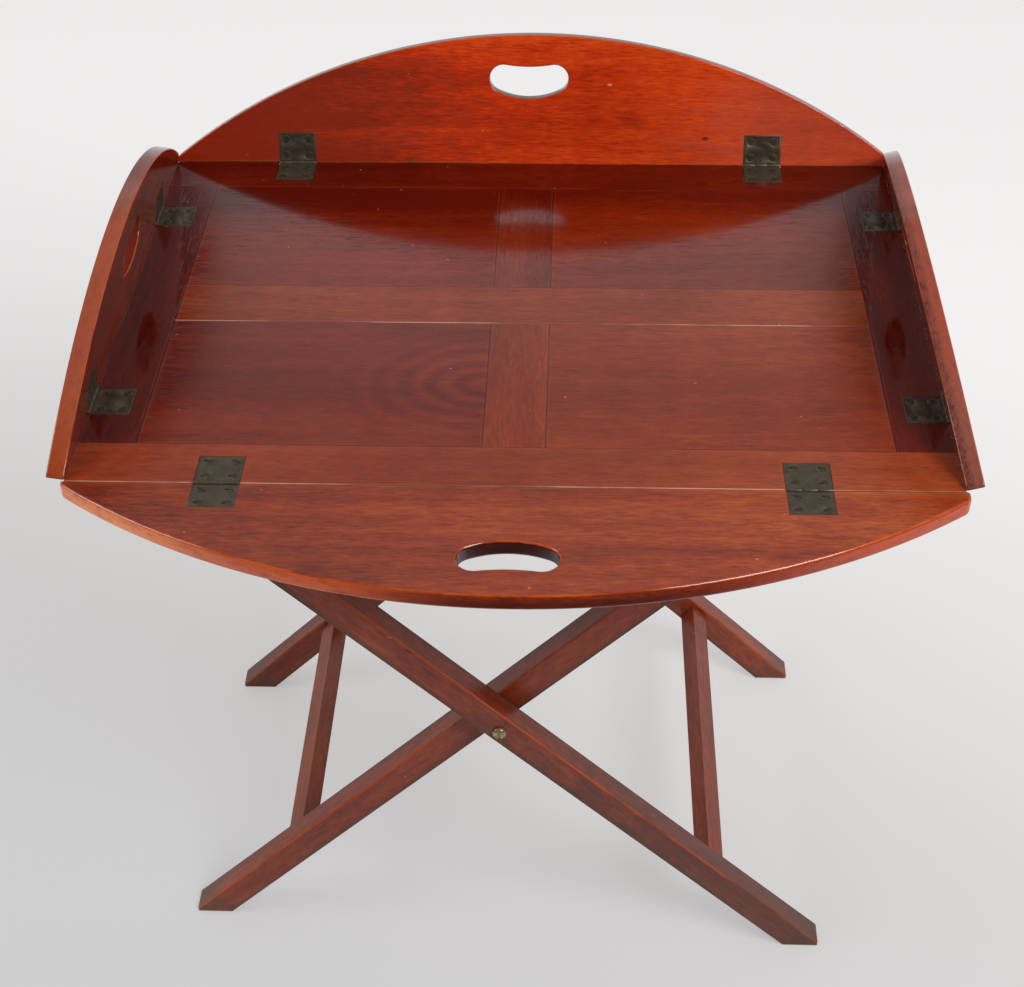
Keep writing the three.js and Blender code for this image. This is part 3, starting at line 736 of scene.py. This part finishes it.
def old_metal(name, deep, plain, rubbed, gloss):
    """Brass under a dark skin that hands have rubbed through in places."""
    finish, shader, skin = blank(name)
    whole = skin.node("TexCoord", out=3)
    patches = skin.node("TexNoise", {}, {
        "Vector": whole, "Scale": 110.0, "Detail": 4.0, "Roughness": 0.6})
    grit = skin.node("TexNoise", {}, {"Vector": whole, "Scale": 900.0, "Detail": 2.0})
    colour = skin.node("ValToRGB", {"stops": [
        (0.32, paint(*deep)), (0.52, paint(*plain)), (0.72, paint(*rubbed))]},
        {0: 0.75 * patches + 0.25 * grit})
    colour.into(shader, "Base Color")
    (gloss + 0.3 * (patches - 0.5)).into(shader, "Roughness")
    patches.between(0.3, 0.7, 0.35, 0.8).into(shader, "Metallic")
    skin.node("Bump", {}, {
        "Height": patches + 0.4 * grit, "Strength": 0.4, "Distance": 0.0002}).into(shader, "Normal")
    return finish


hinge_brass = old_metal("hinge_brass", (51, 46, 37), (81, 73, 60), (115, 105, 87), 0.42)
screw_brass = old_metal("screw_brass", (50, 43, 33), (74, 65, 51), (108, 96, 76), 0.40)
screw_rim_glint = old_metal("screw_rim_glint", (120, 90, 74), (160, 126, 108), (200, 166, 146), 0.30)


def leaf(kind):
    """One leaf on the hinge line: x along it, the leaf behind it (tray) or before it (flap)."""
    sign = 1 if kind == "flap" else -1
    reach = leaf_reach[kind]
    ends = sorted((0, sign * reach))
    plate = block("plate", (-hinge_width / 2, ends[0], -plate_thick),
                  (hinge_width / 2, ends[1], plate_proud))
    soften(plate, plate_arris)
    own = (1,) if kind == "flap" else (0, 2)  # the flap's leaf has the middle knuckle
    for i, start in enumerate(knuckle_starts):
        if i not in own:
            trim(plate, rod("clear", start - knuckle_space, start + knuckle_long + knuckle_space,
                            knuckle_round + knuckle_space))
    for x in screw_columns:
        for y in screw_rows[kind]:
            trim(plate, fresh(bpy.ops.mesh.primitive_cone_add, "sink", vertices=32,
                              radius1=sink_narrow, radius2=sink_wide, depth=sink_deep,
                              location=(x, sign * y, sink_middle)))
    knuckles = []
    for i in own:
        start = knuckle_starts[i]
        knuckle = rod("knuckle", start, start + knuckle_long, knuckle_round)
        soften(knuckle, knuckle_arris, 2, lambda a, b: abs(a.x - b.x) < slack)
        knuckles.append(knuckle)
    return join("leaf_" + kind, [plate] + knuckles)


leaves = {kind: leaf(kind) for kind in leaf_reach}
screw_head = fresh(bpy.ops.mesh.primitive_cone_add, "screw_head", vertices=32,
                   radius1=head_narrow, radius2=head_wide, depth=head_deep,
                   location=(0, 0, head_middle))
soften(screw_head, head_arris, 3, lambda a, b: min(a.z, b.z) > 0)
trim(screw_head, block("slot", (-sink_wide, -slot_half, slot_floor),
                       (sink_wide, slot_half, head_deep)))
for pattern in (*leaves.values(), screw_head):
    smooth(pattern)
screw_head.data.materials.append(screw_brass)
screw_head.data.materials.append(screw_rim_glint)
# The rim of a head is worn bright, and painted as a glint on one side only.
for side in screw_head.data.polygons:
    on_rim = side.center.to_2d().length > rim_start and side.normal.z > 0.1
    side.material_index = int(on_rim and side.center.x > -0.001)
for pattern in leaves.values():
    pattern.data.materials.append(hinge_brass)

screw_turn = 0
for side_name, (round_tray, raised, *_) in sides.items():
    for number in ("1", "2"):
        hinge = side_name + "_hinge_" + number
        pin = Matrix.Translation(midway(*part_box(hinge + "_pin")))
        line = pin @ Matrix.Rotation(math.radians(round_tray), 4, "Z")
        for kind, sign in (("tray", -1), ("flap", 1)):
            lifted = line @ Matrix.Rotation(math.radians(raised if kind == "flap" else 0), 4, "X")
            body = "tray" if kind == "tray" else side_name + "_flap_leaf_set"
            node = hinge + "_" + kind + "_leaf"
            plate = copied(leaves[kind], node + "_plate", lifted)
            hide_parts(node)
            screws = []
            for x in screw_columns:
                for y in screw_rows[kind]:
                    screw_turn += 1
                    aim = Matrix.Rotation(most_turn * math.sin(screw_turn * turn_step), 4, "Z")
                    seat = Matrix.Translation((x, sign * y, 0))
                    screws.append(copied(screw_head, "screw", lifted @ seat @ aim))
            for piece in (plate, join(node + "_screws", screws)):
                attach(piece, body)
        dress(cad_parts[hinge + "_pin"], hinge_brass)
for pattern in (*leaves.values(), screw_head):
    bpy.data.objects.remove(pattern)

# Pivots: a slotted round-headed brass bolt through each crossing of the legs, with a spacer
# between them and a nut on the inside.
bolt_brass = old_metal("bolt_brass", (84, 68, 46), (142, 124, 92), (206, 192, 158), 0.28)
head_high, head_radius, dome, foot_round, shank_radius = 0.0036, 0.0068, 0.0026, 0.0003, 0.004
bolt_slot_half, bolt_slot_long, bolt_slot_floor, bolt_slot_top = 0.0009, 0.016, 0.0016, 0.006
for end, outward in (("front", -1), ("back", 1)):
    low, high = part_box("pivot_bolt_" + end)
    middle = midway(low, high)[::2]  # across and up
    seat, far = (low[1] + head_high, high[1]) if outward < 0 else (high[1] - head_high, low[1])
    head = rod("bolt_head", *sorted((seat, seat + outward * head_high)), head_radius, 48, 1, middle)
    soften(head, dome, 6, lambda a, b: min(
        outward * (a.y - seat), outward * (b.y - seat)) > head_high / 2)
    soften(head, foot_round, 2, lambda a, b: max(
        outward * (a.y - seat), outward * (b.y - seat)) < slack)
    bottom, top = sorted((seat + outward * bolt_slot_floor, seat + outward * bolt_slot_top))
    trim(head, block(
        "slot", (middle[0] - bolt_slot_half, bottom, middle[1] - bolt_slot_long / 2),
        (middle[0] + bolt_slot_half, top, middle[1] + bolt_slot_long / 2)))
    shank = rod("bolt_shank", *sorted((seat, far)), shank_radius, 32, 1, middle)
    bolt = join("bolt_" + end, [head, shank])
    smooth(bolt)
    dress(bolt, bolt_brass)
    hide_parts("pivot_bolt_" + end)
    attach(bolt, "stand_outer")
    dress(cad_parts["pivot_spacer_" + end], bolt_brass)
    dress(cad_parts["pivot_nut_" + end], bolt_brass)

# Webbing: two straps of woven jute, nailed with tacks to the outer faces of the top rails. They
# stop the legs from spreading and lie flat under the tray.
jute, jute_shader, weave = blank("jute_webbing")
cloth_place = weave.node("UVMap", {"uv_map": "cloth"})
warp, weft = [weave.node("SeparateXYZ", {}, {0: cloth_place}, i) for i in (0, 1)]
thread, half_wide = 0.0021, 0.025
over_under = (warp * (2 * math.pi / thread)).sine() * (weft * (2 * math.pi / thread)).sine()
twist = weave.node("TexNoise", {}, {"Vector": cloth_place, "Scale": 900.0, "Detail": 3.0})
dust = weave.node("TexNoise", {}, {"Vector": cloth_place, "Scale": 24.0, "Detail": 3.0})
jute_colour = weave.node("ValToRGB", {"stops": [
    (0.25, paint(108, 88, 60)), (0.55, paint(158, 134, 98)), (0.80, paint(190, 168, 130))]},
    {0: 0.5 + 0.16 * over_under + 0.5 * (twist - 0.5)})
jute_colour = jute_colour.toward(paint(92, 76, 56), dust.between(0.45, 0.75, 0.0, 0.5))
selvedge = abs(weft - half_wide).between(0.0205, 0.0225, 0.0, 0.35)
jute_colour = jute_colour.toward(paint(120, 60, 44), selvedge)
jute_colour.into(jute_shader, "Base Color")
(0.86 + 0.1 * (twist - 0.5)).into(jute_shader, "Roughness")
jute_shader.inputs["Sheen Weight"].default_value = 0.25
weave.node("Bump", {}, {
    "Height": over_under * 0.5 + twist * 0.4, "Strength": 0.6,
    "Distance": 0.0004}).into(jute_shader, "Normal")

strap_thick, turn_round, turned_down = 0.0016, 0.0018, 0.010
side_inset, top_inset = 0.0009, 0.0010
down_steps, turn_steps, flat_steps, strap_rows = 4, 6, 80, 12
tack_radius, tack_rise, tack_round, tack_low, tack_high = 0.0032, 0.0065, 0.0005, -0.0006, 0.0008
tacks_each, first_tack, tack_pitch = 4, 0.14, 0.24


def strap_route(left, right, bottom, top):
    """Up a rail's outer face, round its edge, over to the other rail and down again."""
    turns = [math.radians(90 * i / turn_steps) for i in range(turn_steps + 1)]
    flat = right - left - 2 * turn_round
    climb = [bottom + turned_down * i / down_steps for i in range(down_steps + 1)]
    route = [(left, z) for z in climb]
    route += [(left + turn_round * (1 - math.cos(a)), top - turn_round * (1 - math.sin(a)))
              for a in turns]
    route += [(left + turn_round + flat * i / flat_steps, top) for i in range(1, flat_steps)]
    route += [(right - turn_round * (1 - math.sin(a)), top - turn_round * (1 - math.cos(a)))
              for a in turns]
    route += [(right, z) for z in reversed(climb)]
    return route


def tack_row(name, x, outward, start, wide, bottom):
    """Four tacks through the end of a strap, their heads rounded on the outward side."""
    tacks = []
    for i in range(tacks_each):
        at = (start + wide * (first_tack + tack_pitch * i), bottom + tack_rise)
        tack = rod("tack", x + tack_low, x + tack_high, tack_radius, 20, 0, at)
        soften(tack, tack_round, 2, lambda a, b: min(
            outward * (a.x - x), outward * (b.x - x)) > tack_high / 2)
        tacks.append(tack)
    tacks = join(name, tacks)
    smooth(tacks)
    dress(tacks, hinge_brass)
    return tacks


for end in ("front", "back"):
    low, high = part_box("webbing_" + end)
    wide, middle, top = high[1] - low[1], midway(low, high)[1], high[2] - top_inset
    route = strap_route(low[0] + side_inset, high[0] - side_inset, low[2], top)
    lengths = [0.0]
    for (x0, z0), (x1, z1) in zip(route, route[1:]):
        lengths.append(lengths[-1] + math.hypot(x1 - x0, z1 - z0))
    strap = fresh(bpy.ops.mesh.primitive_grid_add, "webbing_strap_" + end,
                  x_subdivisions=len(route) - 1, y_subdivisions=strap_rows, size=1)
    map_of_cloth = strap.data.uv_layers.new(name="cloth")
    for corner in strap.data.vertices:
        step = round((corner.co.x + 0.5) * (len(route) - 1))
        share = corner.co.y + 0.5
        x, z = route[step]
        corner.co = (x, low[1] + wide * share, z)
    for loop in strap.data.loops:
        index = loop.vertex_index
        step, row = index % len(route), index // len(route)
        map_of_cloth.data[loop.index].uv = (lengths[step], wide * row / strap_rows)
    choose(strap)
    thick = strap.modifiers.new("thick", "SOLIDIFY")
    thick.thickness, thick.offset = strap_thick, 0
    bpy.ops.object.modifier_apply(modifier="thick")
    smooth(strap, 50)
    strap.data.materials.append(jute)
    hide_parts("webbing_" + end)
    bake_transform(strap)
    for side_word, x, outward, body in (("left", low[0], -1, "stand_outer"),
                                        ("right", high[0], 1, "stand_inner")):
        tacks = tack_row("webbing_tacks_" + end + "_" + side_word, x, outward, low[1], wide, low[2])
        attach(tacks, body)

bpy.context.scene.view_settings.view_transform = "Standard"
